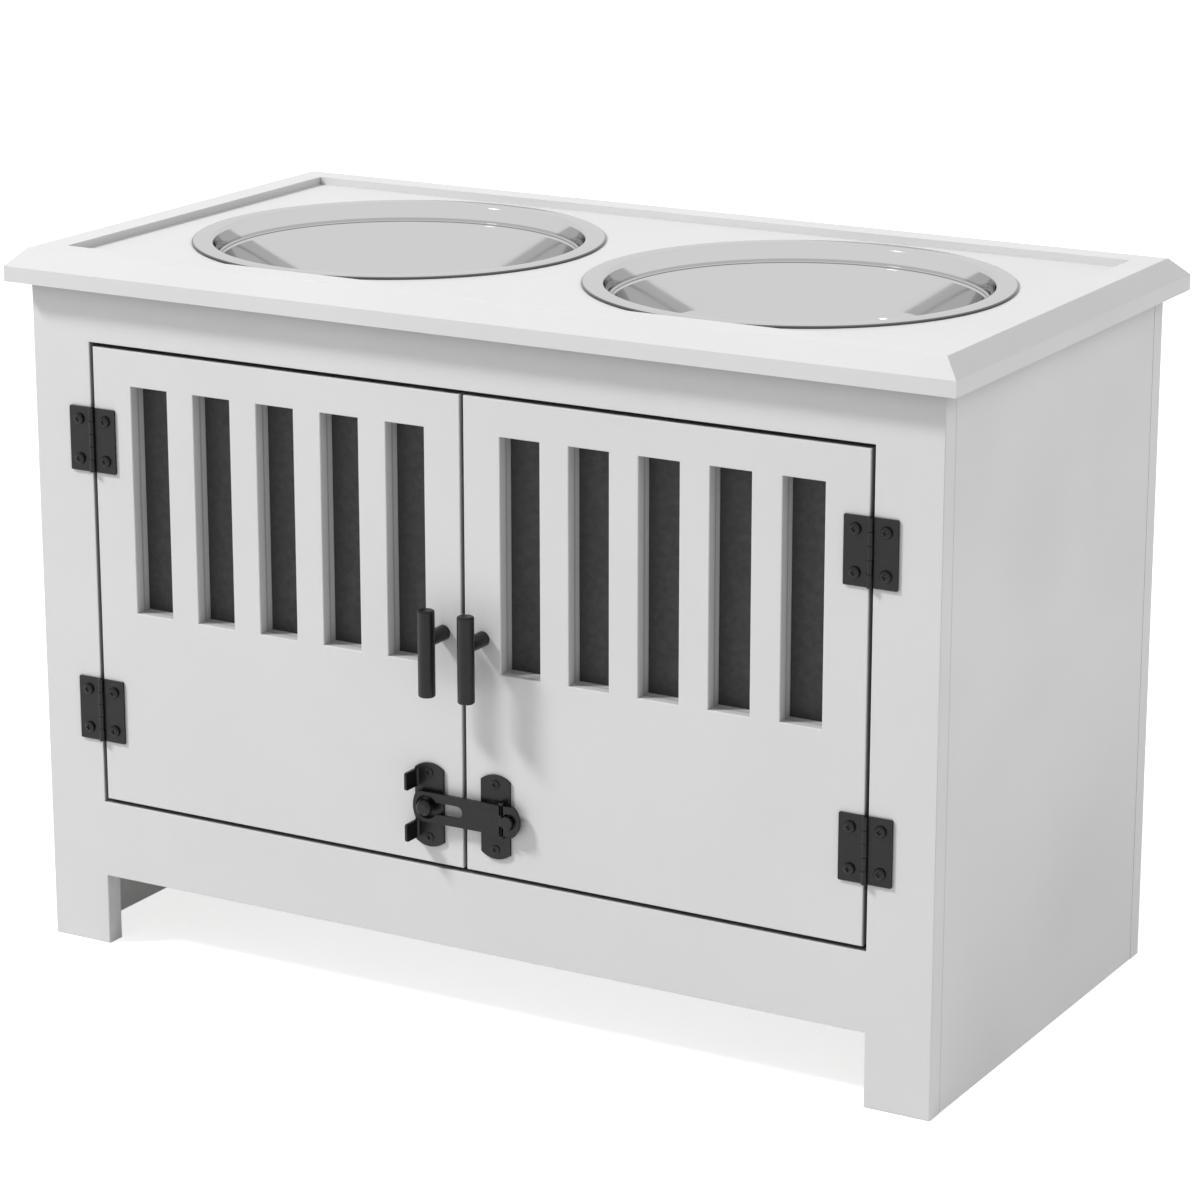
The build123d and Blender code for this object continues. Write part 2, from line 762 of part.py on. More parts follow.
frame_knuckles = range(0, knuckle_count, 2)
door_knuckles = range(1, knuckle_count, 2)
for level, z in zip(("lower", "upper"), hinge_heights):
    halves = {
        f"hinge_frame_leaf_{level}": hinge_half(z, 1, frame_knuckles),
        f"hinge_door_leaf_{level}": hinge_half(z, -1, door_knuckles),
        f"hinge_pin_{level}": hinge_pin(z),
    }
    for name, piece in halves.items():
        parts[f"{name}_right"] = piece
        parts[f"{name}_left"] = mirrored(piece)

# ---- the origin moves to the middle of the footprint, on the floor ----
os.makedirs("parts", exist_ok=True)
for name, piece in parts.items():
    export_step(Pos(0, -origin_y, 0) * piece, f"parts/{name}.step")
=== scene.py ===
"""Dresses the raised feeding cabinet: lacquered boards, spun steel bowls and black ironmongery."""

import logging
import math
from collections.abc import Iterable, Mapping, Sequence
from dataclasses import dataclass
from enum import Enum

import bpy
from mathutils import Matrix, Vector


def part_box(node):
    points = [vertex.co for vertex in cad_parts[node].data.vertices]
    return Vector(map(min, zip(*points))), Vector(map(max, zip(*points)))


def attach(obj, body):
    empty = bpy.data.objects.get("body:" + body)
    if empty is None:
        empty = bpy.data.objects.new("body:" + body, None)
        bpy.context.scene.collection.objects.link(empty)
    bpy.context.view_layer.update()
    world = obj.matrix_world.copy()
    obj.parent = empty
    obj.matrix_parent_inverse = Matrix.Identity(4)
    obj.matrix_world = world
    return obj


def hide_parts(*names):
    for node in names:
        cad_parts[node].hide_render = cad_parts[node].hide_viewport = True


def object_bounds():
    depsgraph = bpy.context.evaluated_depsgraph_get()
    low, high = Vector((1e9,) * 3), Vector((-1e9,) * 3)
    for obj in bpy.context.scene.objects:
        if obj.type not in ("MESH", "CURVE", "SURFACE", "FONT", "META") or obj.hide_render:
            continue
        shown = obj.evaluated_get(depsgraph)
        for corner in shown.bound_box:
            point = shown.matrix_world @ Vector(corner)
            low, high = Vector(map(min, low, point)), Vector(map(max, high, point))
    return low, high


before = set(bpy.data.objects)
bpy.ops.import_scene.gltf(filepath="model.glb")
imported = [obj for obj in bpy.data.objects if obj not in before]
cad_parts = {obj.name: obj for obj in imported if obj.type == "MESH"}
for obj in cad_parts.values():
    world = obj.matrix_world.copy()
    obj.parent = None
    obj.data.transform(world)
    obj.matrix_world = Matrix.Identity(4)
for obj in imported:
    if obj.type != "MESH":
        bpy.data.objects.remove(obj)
cad_low, cad_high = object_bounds()

log = logging.getLogger("feeding_cabinet")

Rgb = tuple[float, float, float]
Point2 = tuple[float, float]
SocketValue = float | Sequence[float] | bpy.types.NodeSocket

MM = 0.001
WHITE: Rgb = (1.0, 1.0, 1.0)
CREVICE_RAYS = 8
SHARP_ANGLE = math.radians(40)
AXIS_REACH = 0.01 * MM

# The mixer has sockets for other kinds of data too. These are the numbers of its colour ones.
MIX_SHARE, MIX_FIRST, MIX_SECOND, MIX_RESULT = 0, 6, 7, 2


class Side(Enum):
    """The two sides of the cabinet, as its node names call them."""

    LEFT = "left"
    RIGHT = "right"


class Grain(Enum):
    """The way the grain of a bare wooden piece runs."""

    ACROSS = (1.0, 0.08, 1.0)
    ALONG = (1.0, 1.0, 0.08)


# ---------------------------------------------------------------- node trees
@dataclass(frozen=True)
class Pattern:
    """A soft random pattern.

    Attributes:
        per_metre: How many features fit in a metre.
        detail: How many finer layers it has.
        rough: How strong the finer layers are.
        low: The reading that counts as 0 once it is spread out.
        high: The reading that counts as 1.
    """

    per_metre: float
    detail: float = 2.0
    rough: float = 0.5
    low: float = 0.35
    high: float = 0.65


class NodeSheet:
    """Lays out the nodes of one material and keeps its main shader at hand."""

    def __init__(self, name: str) -> None:
        """Starts a material that holds only the main shader.

        Args:
            name: The material's name.
        """
        self.material = bpy.data.materials.new(name)
        self.material.use_nodes = True
        self.tree = self.material.node_tree
        self.shader = self.tree.nodes["Principled BSDF"]

    def feed(self, socket: bpy.types.NodeSocket, value: SocketValue) -> None:
        """Links a socket to another one, or sets its value.

        Args:
            socket: The input to fill.
            value: Another node's output, a number or a tuple.
        """
        if isinstance(value, bpy.types.NodeSocket):
            self.tree.links.new(value, socket)
        else:
            socket.default_value = value

    def node(
        self, kind: str, inputs: Mapping[str | int, SocketValue], **settings: object
    ) -> bpy.types.Node:
        """Adds a node.

        Args:
            kind: The node's type name.
            inputs: What goes into its inputs, by name or number.
            **settings: The node's own options.

        Returns:
            The new node.
        """
        made = self.tree.nodes.new(kind)
        for key, option in settings.items():
            setattr(made, key, option)
        for key, value in inputs.items():
            self.feed(made.inputs[key], value)
        return made

    def place(self, stretch: Sequence[float] = (1.0, 1.0, 1.0)) -> bpy.types.NodeSocket:
        """Gives the surface's own place in metres, stretched along the axes.

        Args:
            stretch: One factor for each axis.

        Returns:
            The stretched place.
        """
        where = self.node("ShaderNodeTexCoord", {}).outputs["Object"]
        inputs = {"Vector": where, "Scale": stretch}
        return self.node("ShaderNodeMapping", inputs).outputs["Vector"]

    def noise(self, where: bpy.types.NodeSocket, pattern: Pattern) -> bpy.types.NodeSocket:
        """Adds a soft random pattern.

        Args:
            where: The place to read it at.
            pattern: The pattern.

        Returns:
            The pattern's reading, about 0.5 on average.
        """
        inputs = {
            "Vector": where,
            "Scale": pattern.per_metre,
            "Detail": pattern.detail,
            "Roughness": pattern.rough,
        }
        return self.node("ShaderNodeTexNoise", inputs).outputs["Fac"]

    def remap(
        self, value: bpy.types.NodeSocket, low: float, high: float, start: float, end: float
    ) -> bpy.types.NodeSocket:
        """Gives start where the value is low or less, end from high upwards, and blends between."""
        inputs = {"Value": value, "From Min": low, "From Max": high, "To Min": start, "To Max": end}
        return self.node("ShaderNodeMapRange", inputs).outputs["Result"]

    def spread(
        self,
        reading: bpy.types.NodeSocket,
        pattern: Pattern,
        start: float = 0.0,
        end: float = 1.0,
    ) -> bpy.types.NodeSocket:
        """Remaps what noise gave for a pattern, from its low and high readings to start and end."""
        return self.remap(reading, pattern.low, pattern.high, start, end)

    def blend(
        self, share: SocketValue, first: SocketValue, second: SocketValue
    ) -> bpy.types.NodeSocket:
        """Mixes two colours.

        Args:
            share: How much of the second colour there is.
            first: The colour at share 0.
            second: The colour at share 1.

        Returns:
            The mixed colour.
        """
        mix = self.node("ShaderNodeMix", {}, data_type="RGBA")
        for number, value in ((MIX_SHARE, share), (MIX_FIRST, first), (MIX_SECOND, second)):
            self.feed(mix.inputs[number], value)
        return mix.outputs[MIX_RESULT]

    def maths(self, operation: str, *values: SocketValue) -> bpy.types.NodeSocket:
        """Does one operation of the Math node on the values."""
        return self.node("ShaderNodeMath", dict(enumerate(values)), operation=operation).outputs[0]

    def relief(
        self, height: bpy.types.NodeSocket, depth: float, under: bpy.types.NodeSocket | None = None
    ) -> bpy.types.NodeSocket:
        """Turns a pattern into small hills.

        Args:
            height: The pattern.
            depth: How far it rises, in metres, where the pattern goes from 0 to 1.
            under: Another relief that this one lies on.

        Returns:
            The bent normal.
        """
        inputs: dict[str | int, SocketValue] = {
            "Height": height,
            "Distance": depth,
            "Strength": 1.0,
        }
        if under is not None:
            inputs["Normal"] = under
        return self.node("ShaderNodeBump", inputs).outputs["Normal"]

    def crevices(self, reach: float) -> bpy.types.NodeSocket:
        """Finds narrow gaps and inner corners.

        Args:
            reach: How near the other wall has to be, in metres.

        Returns:
            1 on an open face, down to 0 deep in a gap.
        """
        inputs = {"Distance": reach}
        found = self.node("ShaderNodeAmbientOcclusion", inputs, samples=CREVICE_RAYS)
        return found.outputs["AO"]

    def coat(
        self,
        colour: bpy.types.NodeSocket,
        roughness: bpy.types.NodeSocket,
        normal: bpy.types.NodeSocket,
        **fixed: float,
    ) -> bpy.types.Material:
        """Feeds the main shader and hands the material over.

        Args:
            colour: The surface's colour.
            roughness: How dull it is.
            normal: Its relief.
            **fixed: Plain numbers for other inputs, by name with underscores.

        Returns:
            The finished material.
        """
        self.feed(self.shader.inputs["Base Color"], colour)
        self.feed(self.shader.inputs["Roughness"], roughness)
        self.feed(self.shader.inputs["Normal"], normal)
        for key, value in fixed.items():
            self.shader.inputs[key.replace("_", " ")].default_value = value
        return self.material


def rgba(colour: Rgb, shade: float = 1.0) -> tuple[float, float, float, float]:
    """Adds full opacity to a colour, and makes it darker by a factor."""
    return (colour[0] * shade, colour[1] * shade, colour[2] * shade, 1.0)


# ---------------------------------------------------------------- finishes
@dataclass(frozen=True)
class WhiteLacquer:
    """Satin lacquer sprayed on board, with the soft waves and dimples that spraying leaves. Painted
    shade darkens it where a corner shelters it and in narrow gaps, and it is darker along a board's
    joint lines. Each line is a seam, given by its place from front to back."""

    name: str = "white_lacquer"
    colour: Rgb = (0.80, 0.80, 0.80)
    cloud_shade: float = 0.975
    clouds: Pattern = Pattern(9.0, 3.0, low=0.3, high=0.7)
    dimples: Pattern = Pattern(420.0, 1.0)
    dimple_depth: float = 0.012 * MM
    waves: Pattern = Pattern(60.0, 1.0)
    wave_depth: float = 0.03 * MM
    # Painted shade in sheltered corners, found by ambient occlusion and kept off the floor.
    shelter_reach: float = 22.0 * MM
    shelter_open: float = 0.90
    shelter_closed: float = 0.42
    painted_shelter_shade: float = 0.76
    foot_low: float = 25.0 * MM
    foot_high: float = 70.0 * MM
    seams: tuple[float, ...] = ()
    seam_width: float = 1.2 * MM
    seam_shade: float = 0.66
    # Painted shade in narrow gaps.
    gap_open: float = 0.34
    gap_deep: float = 0.12
    painted_gap_shade: float = 0.30
    roughness_low: float = 0.40
    roughness_high: float = 0.52
    refraction: float = 1.45

    def make(self) -> bpy.types.Material:
        """Builds the material.

        Returns:
            The finished material.
        """
        sheet = NodeSheet(self.name)
        where = sheet.place()
        clouds = sheet.spread(sheet.noise(where, self.clouds), self.clouds)
        dimples = sheet.noise(where, self.dimples)
        waves = sheet.noise(where, self.waves)
        colour = sheet.blend(clouds, rgba(self.colour), rgba(self.colour, self.cloud_shade))
        # Joint lines, and painted shade in narrow gaps and sheltered corners.
        colour = self.shade(sheet, colour, where)
        roughness = sheet.remap(clouds, 0.0, 1.0, self.roughness_low, self.roughness_high)
        normal = sheet.relief(dimples, self.dimple_depth, sheet.relief(waves, self.wave_depth))
        return sheet.coat(colour, roughness, normal, IOR=self.refraction)

    def shade(
        self, sheet: NodeSheet, colour: bpy.types.NodeSocket, where: bpy.types.NodeSocket
    ) -> bpy.types.NodeSocket:
        """Darkens joint lines; paints shade in narrow gaps and in sheltered corners off the floor.

        Args:
            sheet: The material's nodes.
            colour: The colour of the open face.
            where: The surface's own place.

        Returns:
            The shaded colour.
        """
        # Painted shade: sheltered corners above the floor go darker.
        openness = sheet.crevices(self.shelter_reach)
        sheltered = sheet.remap(openness, self.shelter_closed, self.shelter_open, 1.0, 0.0)
        depth, height = sheet.node("ShaderNodeSeparateXYZ", {"Vector": where}).outputs[1:]
        raised = sheet.remap(height, self.foot_low, self.foot_high, 0.0, 1.0)
        share = sheet.maths("MULTIPLY", sheltered, raised)
        colour = sheet.blend(share, colour, rgba(self.colour, self.painted_shelter_shade))
        for seam in self.seams:
            off = sheet.maths("ABSOLUTE", sheet.maths("SUBTRACT", depth, seam))
            near = sheet.remap(off, 0.0, self.seam_width, 1.0, 0.0)
            colour = sheet.blend(near, colour, rgba(self.colour, self.seam_shade))
        # Painted shade: narrow gaps go darker.
        closed = sheet.remap(openness, self.gap_deep, self.gap_open, 1.0, 0.0)
        return sheet.blend(closed, colour, rgba(self.colour, self.painted_gap_shade))


@dataclass(frozen=True)
class BarePine:
    """Planed softwood with growth rings and fine pores."""

    name: str = "bare_wood"
    light: Rgb = (0.66, 0.47, 0.28)
    dark: Rgb = (0.42, 0.26, 0.13)
    rings: Pattern = Pattern(90.0, 4.0, 0.6)
    fibres: Pattern = Pattern(1400.0, low=0.3, high=0.7)
    fibre_depth: float = 0.04 * MM
    roughness_low: float = 0.55
    roughness_high: float = 0.75
    grain: Grain = Grain.ACROSS

    def make(self) -> bpy.types.Material:
        """Builds the material.

        Returns:
            The finished material.
        """
        sheet = NodeSheet(f"{self.name}_{self.grain.name.lower()}")
        along = sheet.place(self.grain.value)
        rings = sheet.spread(sheet.noise(along, self.rings), self.rings)
        fibres = sheet.noise(along, self.fibres)
        colour = sheet.blend(rings, rgba(self.light), rgba(self.dark))
        roughness = sheet.spread(fibres, self.fibres, self.roughness_low, self.roughness_high)
        return sheet.coat(colour, roughness, sheet.relief(fibres, self.fibre_depth))


@dataclass(frozen=True)
class DarkBoard:
    """Dark hardboard with a fine pressed texture."""

    name: str = "dark_backing"
    colour: Rgb = (0.029, 0.029, 0.030)
    fleck_shade: float = 0.86
    flecks: Pattern = Pattern(260.0, 4.0, 0.65)
    press_depth: float = 0.01 * MM
    roughness_low: float = 0.55
    roughness_high: float = 0.70

    def make(self) -> bpy.types.Material:
        """Builds the material.

        Returns:
            The finished material.
        """
        sheet = NodeSheet(self.name)
        flecks = sheet.spread(sheet.noise(sheet.place(), self.flecks), self.flecks)
        colour = sheet.blend(flecks, rgba(self.colour), rgba(self.colour, self.fleck_shade))
        roughness = sheet.remap(flecks, 0.0, 1.0, self.roughness_low, self.roughness_high)
        return sheet.coat(colour, roughness, sheet.relief(flecks, self.press_depth))


@dataclass(frozen=True)
class SpunSteel:
    """Stainless steel spun on a lathe: fine rings round the bowl's middle, soft smears, a painted
    shadow line under the lip and a painted shade line in the corner of the collar."""

    name: str
    middle: Point2
    top: float
    radius: float
    collar: float
    colour: Rgb = (0.63, 0.63, 0.635)
    ring_shade: float = 0.96
    rings: Pattern = Pattern(2600.0)
    ring_depth: float = 0.0015 * MM
    smears: Pattern = Pattern(28.0, 3.0, 0.6, 0.3, 0.7)
    roughness_low: float = 0.05
    roughness_high: float = 0.09
    # Painted shadow line under the rolled lip.
    painted_lip_shadow: float = 0.12
    lip_width: float = 1.0 * MM
    lip_drop: float = 0.5 * MM
    lip_top: float = 0.85
    # Painted shade line in the corner of the collar.
    painted_corner_shade: float = 0.68
    corner_low: float = 0.3 * MM
    corner_high: float = 1.9 * MM
    soft_edge: float = 0.25 * MM
    graze_tint: Rgb = (0.84, 0.84, 0.84)

    def make(self) -> bpy.types.Material:
        """Builds the material.

        Returns:
            The finished material.
        """
        sheet = NodeSheet(self.name)
        where = sheet.node("ShaderNodeTexCoord", {}).outputs["Object"]
        centred = sheet.node(
            "ShaderNodeVectorMath", {0: where, 1: (*self.middle, 0.0)}, operation="SUBTRACT"
        )
        aside, back, height = sheet.node(
            "ShaderNodeSeparateXYZ", {"Vector": centred.outputs[0]}
        ).outputs
        squares = [sheet.maths("MULTIPLY", part, part) for part in (aside, back)]
        reach = sheet.maths("SQRT", sheet.maths("ADD", *squares))
        ring_place = sheet.node("ShaderNodeCombineXYZ", {"X": reach, "Y": height}).outputs[0]
        rings = sheet.noise(ring_place, self.rings)
        smears = sheet.noise(where, self.smears)
        colour = sheet.blend(rings, rgba(self.colour, self.ring_shade), rgba(self.colour))
        # Painted shade in the corner of the collar, and a painted shadow under the lip.
        colour = self.paint_corner_shade(sheet, colour, height)
        colour = self.paint_lip_shadow(sheet, colour, reach, height)
        roughness = sheet.spread(smears, self.smears, self.roughness_low, self.roughness_high)
        sheet.shader.inputs["Specular Tint"].default_value = rgba(self.graze_tint)
        return sheet.coat(colour, roughness, sheet.relief(rings, self.ring_depth), Metallic=1.0)

    def paint_corner_shade(
        self, sheet: NodeSheet, colour: bpy.types.NodeSocket, height: bpy.types.NodeSocket
    ) -> bpy.types.NodeSocket:
        """Paints a line of shade in the corner of the collar.

        Args:
            sheet: The material's nodes.
            colour: The steel's colour.
            height: The surface's height.

        Returns:
            The colour with the line.
        """
        low = self.top - self.collar + self.corner_low
        high = self.top - self.collar + self.corner_high
        above = sheet.remap(height, low, low + self.soft_edge, 0.0, 1.0)
        below = sheet.remap(height, high, high + self.soft_edge, 1.0, 0.0)
        share = sheet.maths("MULTIPLY", above, below)
        return sheet.blend(share, colour, rgba(self.colour, self.painted_corner_shade))

    def paint_lip_shadow(
        self,
        sheet: NodeSheet,
        colour: bpy.types.NodeSocket,
        reach: bpy.types.NodeSocket,
        height: bpy.types.NodeSocket,
    ) -> bpy.types.NodeSocket:
        """Paints a line of shadow round the rolled lip.

        Args:
            sheet: The material's nodes.
            colour: The steel's colour.
            reach: How far the surface is from the bowl's axis.
            height: The surface's height.

        Returns:
            The colour with the line.
        """
        edge = self.radius - self.lip_width
        lip = self.top - self.lip_drop
        outside = sheet.remap(reach, edge, edge + self.soft_edge, 0.0, 1.0)
        under = sheet.remap(height, lip - self.soft_edge, lip, 1.0, self.lip_top)
        share = sheet.maths("MULTIPLY", outside, under)
        return sheet.blend(share, colour, rgba(self.colour, self.painted_lip_shadow))


@dataclass(frozen=True)
class PowderCoat:
    """Black powder coat with the fine pebbled skin that the oven leaves."""

    name: str = "black_iron"
    colour: Rgb = (0.005, 0.005, 0.0053)
    rub_colour: Rgb = (0.008, 0.008, 0.0083)
    shine: float = 0.33
    rubs: Pattern = Pattern(130.0, 3.0, 0.6, 0.4, 0.7)
    pebbles: Pattern = Pattern(1900.0, 1.0)
    pebble_depth: float = 0.006 * MM
    roughness_low: float = 0.30
    roughness_high: float = 0.36

    def make(self) -> bpy.types.Material:
        """Builds the material.

        Returns:
            The finished material.
        """
        sheet = NodeSheet(self.name)
        where = sheet.place()
        rubs = sheet.spread(sheet.noise(where, self.rubs), self.rubs)
        pebbles = sheet.noise(where, self.pebbles)
        colour = sheet.blend(rubs, rgba(self.colour), rgba(self.rub_colour))
        roughness = sheet.remap(rubs, 0.0, 1.0, self.roughness_high, self.roughness_low)
        relief = sheet.relief(pebbles, self.pebble_depth)
        return sheet.coat(colour, roughness, relief, Specular_IOR_Level=self.shine)


@dataclass(frozen=True)
class BrightZinc:
    """Zinc plate on screws, a little cloudy."""

    name: str = "zinc_screw"
    colour: Rgb = (0.62, 0.62, 0.60)
    cloud_colour: Rgb = (0.50, 0.50, 0.47)
    clouds: Pattern = Pattern(500.0, 3.0)
    cloud_depth: float = 0.01 * MM
    roughness_low: float = 0.25
    roughness_high: float = 0.45

    def make(self) -> bpy.types.Material:
        """Builds the material.

        Returns:
            The finished material.
        """
        sheet = NodeSheet(self.name)
        clouds = sheet.spread(sheet.noise(sheet.place(), self.clouds), self.clouds)
        colour = sheet.blend(clouds, rgba(self.colour), rgba(self.cloud_colour))
        roughness = sheet.remap(clouds, 0.0, 1.0, self.roughness_low, self.roughness_high)
        return sheet.coat(colour, roughness, sheet.relief(clouds, self.cloud_depth), Metallic=1.0)


Finish = WhiteLacquer | BarePine | DarkBoard | SpunSteel | PowderCoat | BrightZinc


class FinishStore:
    """Makes each finish once and puts it on pieces."""

    def __init__(self) -> None:
        """Starts with no finish made."""
        self.made: dict[Finish, bpy.types.Material] = {}

    def material(self, finish: Finish) -> bpy.types.Material:
        """Gives the material of a finish, which is made the first time.

        Args:
            finish: One of the finishes above.

        Returns:
            Its material.
        """
        if finish not in self.made:
            self.made[finish] = finish.make()
        return self.made[finish]

    def dress(self, names: Iterable[str], finish: Finish) -> None:
        """Puts a finish on pieces of the frame.

        Args:
            names: The pieces' names.
            finish: What they get.
        """
        for name in names:
            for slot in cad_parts[name].material_slots:
                slot.material = self.material(finish)
            log.info("%s: %s", name, self.material(finish).name)


# ---------------------------------------------------------------- meshes
def rounded_path(
    corners: Sequence[Point2], radii: Sequence[float], steps: int
) -> list[Point2]:
    """Rounds the inner corners of an open path.

    Args:
        corners: The path's points.
        radii: The radius at each point but the first and the last.
        steps: How many lengths each round is cut into.

    Returns:
        The points of the rounded path.
    """
    path = [corners[0]]
    for before, corner, after, radius in zip(corners, corners[1:], corners[2:], radii):
        here = Vector(corner)
        back = (Vector(before) - here).normalized()
        ahead = (Vector(after) - here).normalized()
        half = back.angle(ahead) / 2
        middle = here + (back + ahead).normalized() * (radius / math.sin(half))
        first = here + back * (radius / math.tan(half)) - middle
        sweep = (math.pi - 2 * half) * math.copysign(1.0, back.cross(ahead))
        for index in range(steps + 1):
            turned = Matrix.Rotation(-sweep * index / steps, 2) @ first
            path.append(tuple(middle + turned))
    path.append(corners[-1])
    return path


def thickened(path: Sequence[Point2], thickness: float) -> list[Point2]:
    """Lays a second path on the left of an open path and joins the two.

    Args:
        path: The path, with its points in order.
        thickness: How far the second path lies from it.

    Returns:
        The closed outline of the sheet.
    """
    shifted = []
    for index, point in enumerate(path):
        before = Vector(path[max(index - 1, 0)])
        after = Vector(path[min(index + 1, len(path) - 1)])
        along = (after - before).normalized()
        shifted.append((point[0] - along.y * thickness, point[1] + along.x * thickness))
    return [*path, *reversed(shifted)]


def turned_piece(
    name: str, outline: Sequence[Point2], centre: Vector, segments: int
) -> bpy.types.Object:
    """Turns a closed outline round an upright axis. Where it meets the axis, it closes in a point.

    Args:
        name: The piece's name.
        outline: Distance from the axis and height of each point.
        centre: Where the axis stands, and the height of 0.
        segments: How many slices the turn has.

    Returns:
        The new piece, smooth but for its sharp edges.
    """
    verts: list[tuple[float, float, float]] = []
    rows: list[list[int]] = []
    for reach, height in outline:
        if reach < AXIS_REACH:
            verts.append((centre.x, centre.y, centre.z + height))
            rows.append([len(verts) - 1] * segments)
            continue
        start = len(verts)
        for slice_index in range(segments):
            angle = math.tau * slice_index / segments
            x, y = centre.x + reach * math.cos(angle), centre.y + reach * math.sin(angle)
            verts.append((x, y, centre.z + height))
        rows.append(list(range(start, start + segments)))
    faces = []
    for low, high in zip(rows, rows[1:] + rows[:1]):
        for index in range(segments):
            after = (index + 1) % segments
            corners = [low[index], low[after], high[after], high[index]]
            face = list(dict.fromkeys(corners))
            if len(face) > 2:
                faces.append(face)
    mesh = bpy.data.meshes.new(name)
    mesh.from_pydata(verts, [], faces)
    mesh.validate()
    mesh.shade_smooth()
    mesh.set_sharp_from_angle(angle=SHARP_ANGLE)
    piece = bpy.data.objects.new(name, mesh)
    bpy.context.scene.collection.objects.link(piece)
    return piece


# ---------------------------------------------------------------- sub-assemblies
@dataclass
class CabinetBody:
    """The lacquered boards, and the bare strips, screws and dowels that join them."""

    front_painted_shade: float = 0.44
    boards: tuple[str, ...] = ("back_panel", "bottom_shelf")
    strips: tuple[str, ...] = ("shelf_cleat", "tray_cleat")

    def dress(self, store: FinishStore) -> None:
        """Puts the finishes on.

        Args:
            store: Where the finishes come from.
        """
        panels = [f"side_panel_{side.value}" for side in Side]
        strips = [f"{name}_{side.value}" for name in self.strips for side in Side]
        # The front frame's lacquer gets deeper painted shade, for the shadow under the tray's
        # overhang.
        front_lacquer = WhiteLacquer("front_lacquer", painted_shelter_shade=self.front_painted_shade)
        store.dress(self.boards, WhiteLacquer())
        low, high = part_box(panels[0])
        store.dress(panels, WhiteLacquer("side_lacquer", seams=(low.y, high.y)))
        store.dress(["front_frame"], front_lacquer)
        store.dress(strips, BarePine())
        store.dress(["board_dowels"], BarePine())
        store.dress(["rim_dowels"], BarePine(grain=Grain.ALONG))
        store.dress(["cleat_screws"], BrightZinc())


@dataclass
class TrayTop:
    """The sunk board with its four mouldings."""

    mouldings: tuple[str, ...] = ("rim_front", "rim_left", "rim_right")
    back_painted_shade: float = 1.0

    def dress(self, store: FinishStore) -> None:
        """Puts the store's lacquer on the tray board and the mouldings."""
        store.dress(["tray_board", *self.mouldings], WhiteLacquer())
        # The back moulding's lacquer gets no painted shade in its corners.
        store.dress(["rim_back"], WhiteLacquer("lacquer_without_painted_shade", painted_shelter_shade=self.back_painted_shade))


@dataclass
class Bowl:
    """A spun bowl with a flat flange, a collar step and a deep dish."""

    side: Side
    sheet: float = 1.0 * MM
    flange_width: float = 12.3 * MM
    lip_height: float = 1.4 * MM
    collar_depth: float = 10.5 * MM
    collar_lean: float = 2.2 * MM
    step: float = 2.8 * MM
    wall_lean: float = 7.0 * MM
    lip_bend: float = 1.2 * MM
    mouth_bend: float = 2.5 * MM
    collar_bend: float = 1.4 * MM
    floor_bend: float = 14.0 * MM
    segments: int = 192
    bend_steps: int = 8

    def build(self, store: FinishStore) -> None:
        """Makes the bowl in place of the plain one.

        Args:
            store: Where the finish comes from.
        """
        node = f"bowl_{self.side.value}"
        low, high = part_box(node)
        middle = (low + high) / 2
        radius = (high.x - low.x) / 2
        mouth = radius - self.flange_width
        collar = mouth - self.collar_lean
        wall = collar - self.step
        floor = low.z + self.sheet - high.z
        corners = [
            (radius, -self.lip_height),
            (radius, 0.0),
            (mouth, 0.0),
            (collar, -self.collar_depth),
            (wall, -self.collar_depth),
            (wall - self.wall_lean, floor),
            (0.0, floor),
        ]
        bends = (
            self.lip_bend,
            self.mouth_bend,
            self.collar_bend,
            self.collar_bend,
            self.floor_bend,
        )
        outline = thickened(rounded_path(corners, bends, self.bend_steps), self.sheet)
        centre = Vector((middle.x, middle.y, high.z))
        piece = turned_piece(f"{node}_spun", outline, centre, self.segments)
        steel = SpunSteel(
            f"{node}_steel", (middle.x, middle.y), high.z, radius, self.collar_depth
        )
        piece.data.materials.append(store.material(steel))
        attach(piece, node)
        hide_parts(node)
        log.info("%s: spun in %d slices", piece.name, self.segments)


@dataclass
class Door:
    """A slatted door of two glued boards, with its dark backing."""

    side: Side
    front_board: float = 7.0 * MM
    glue_shade: float = 0.48

    def dress(self, store: FinishStore) -> None:
        """Puts the finishes on.

        Args:
            store: Where the finishes come from.
        """
        side = self.side.value
        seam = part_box(f"door_{side}")[0].y + self.front_board
        lacquer = WhiteLacquer("door_lacquer", seams=(seam,), seam_shade=self.glue_shade)
        store.dress([f"door_{side}"], lacquer)
        store.dress([f"door_backing_{side}"], DarkBoard())
        store.dress([f"backing_screws_{side}"], BrightZinc())


@dataclass
class Hinges:
    """The four butt hinges and their screws."""

    levels: tuple[str, ...] = ("lower", "upper")
    pieces: tuple[str, ...] = ("hinge_frame_leaf", "hinge_door_leaf", "hinge_pin")

    def dress(self, store: FinishStore) -> None:
        """Puts the powder coat on.

        Args:
            store: Where the finishes come from.
        """
        names = [
            f"{piece}_{level}_{side.value}"
            for piece in self.pieces
            for level in self.levels
            for side in Side
        ]
        screws = [f"hinge_door_screws_{side.value}" for side in Side]
        store.dress([*names, "hinge_frame_screws", *screws], PowderCoat())


@dataclass
class Handle:
    """A T-handle: an upright bar on a stem, held by a screw from behind."""

    side: Side

    def dress(self, store: FinishStore) -> None:
        """Puts the finishes on.

        Args:
            store: Where the finishes come from.
        """
        side = self.side.value
        store.dress([f"handle_bar_{side}", f"handle_stem_{side}"], PowderCoat())
        store.dress([f"handle_screw_{side}"], BrightZinc())


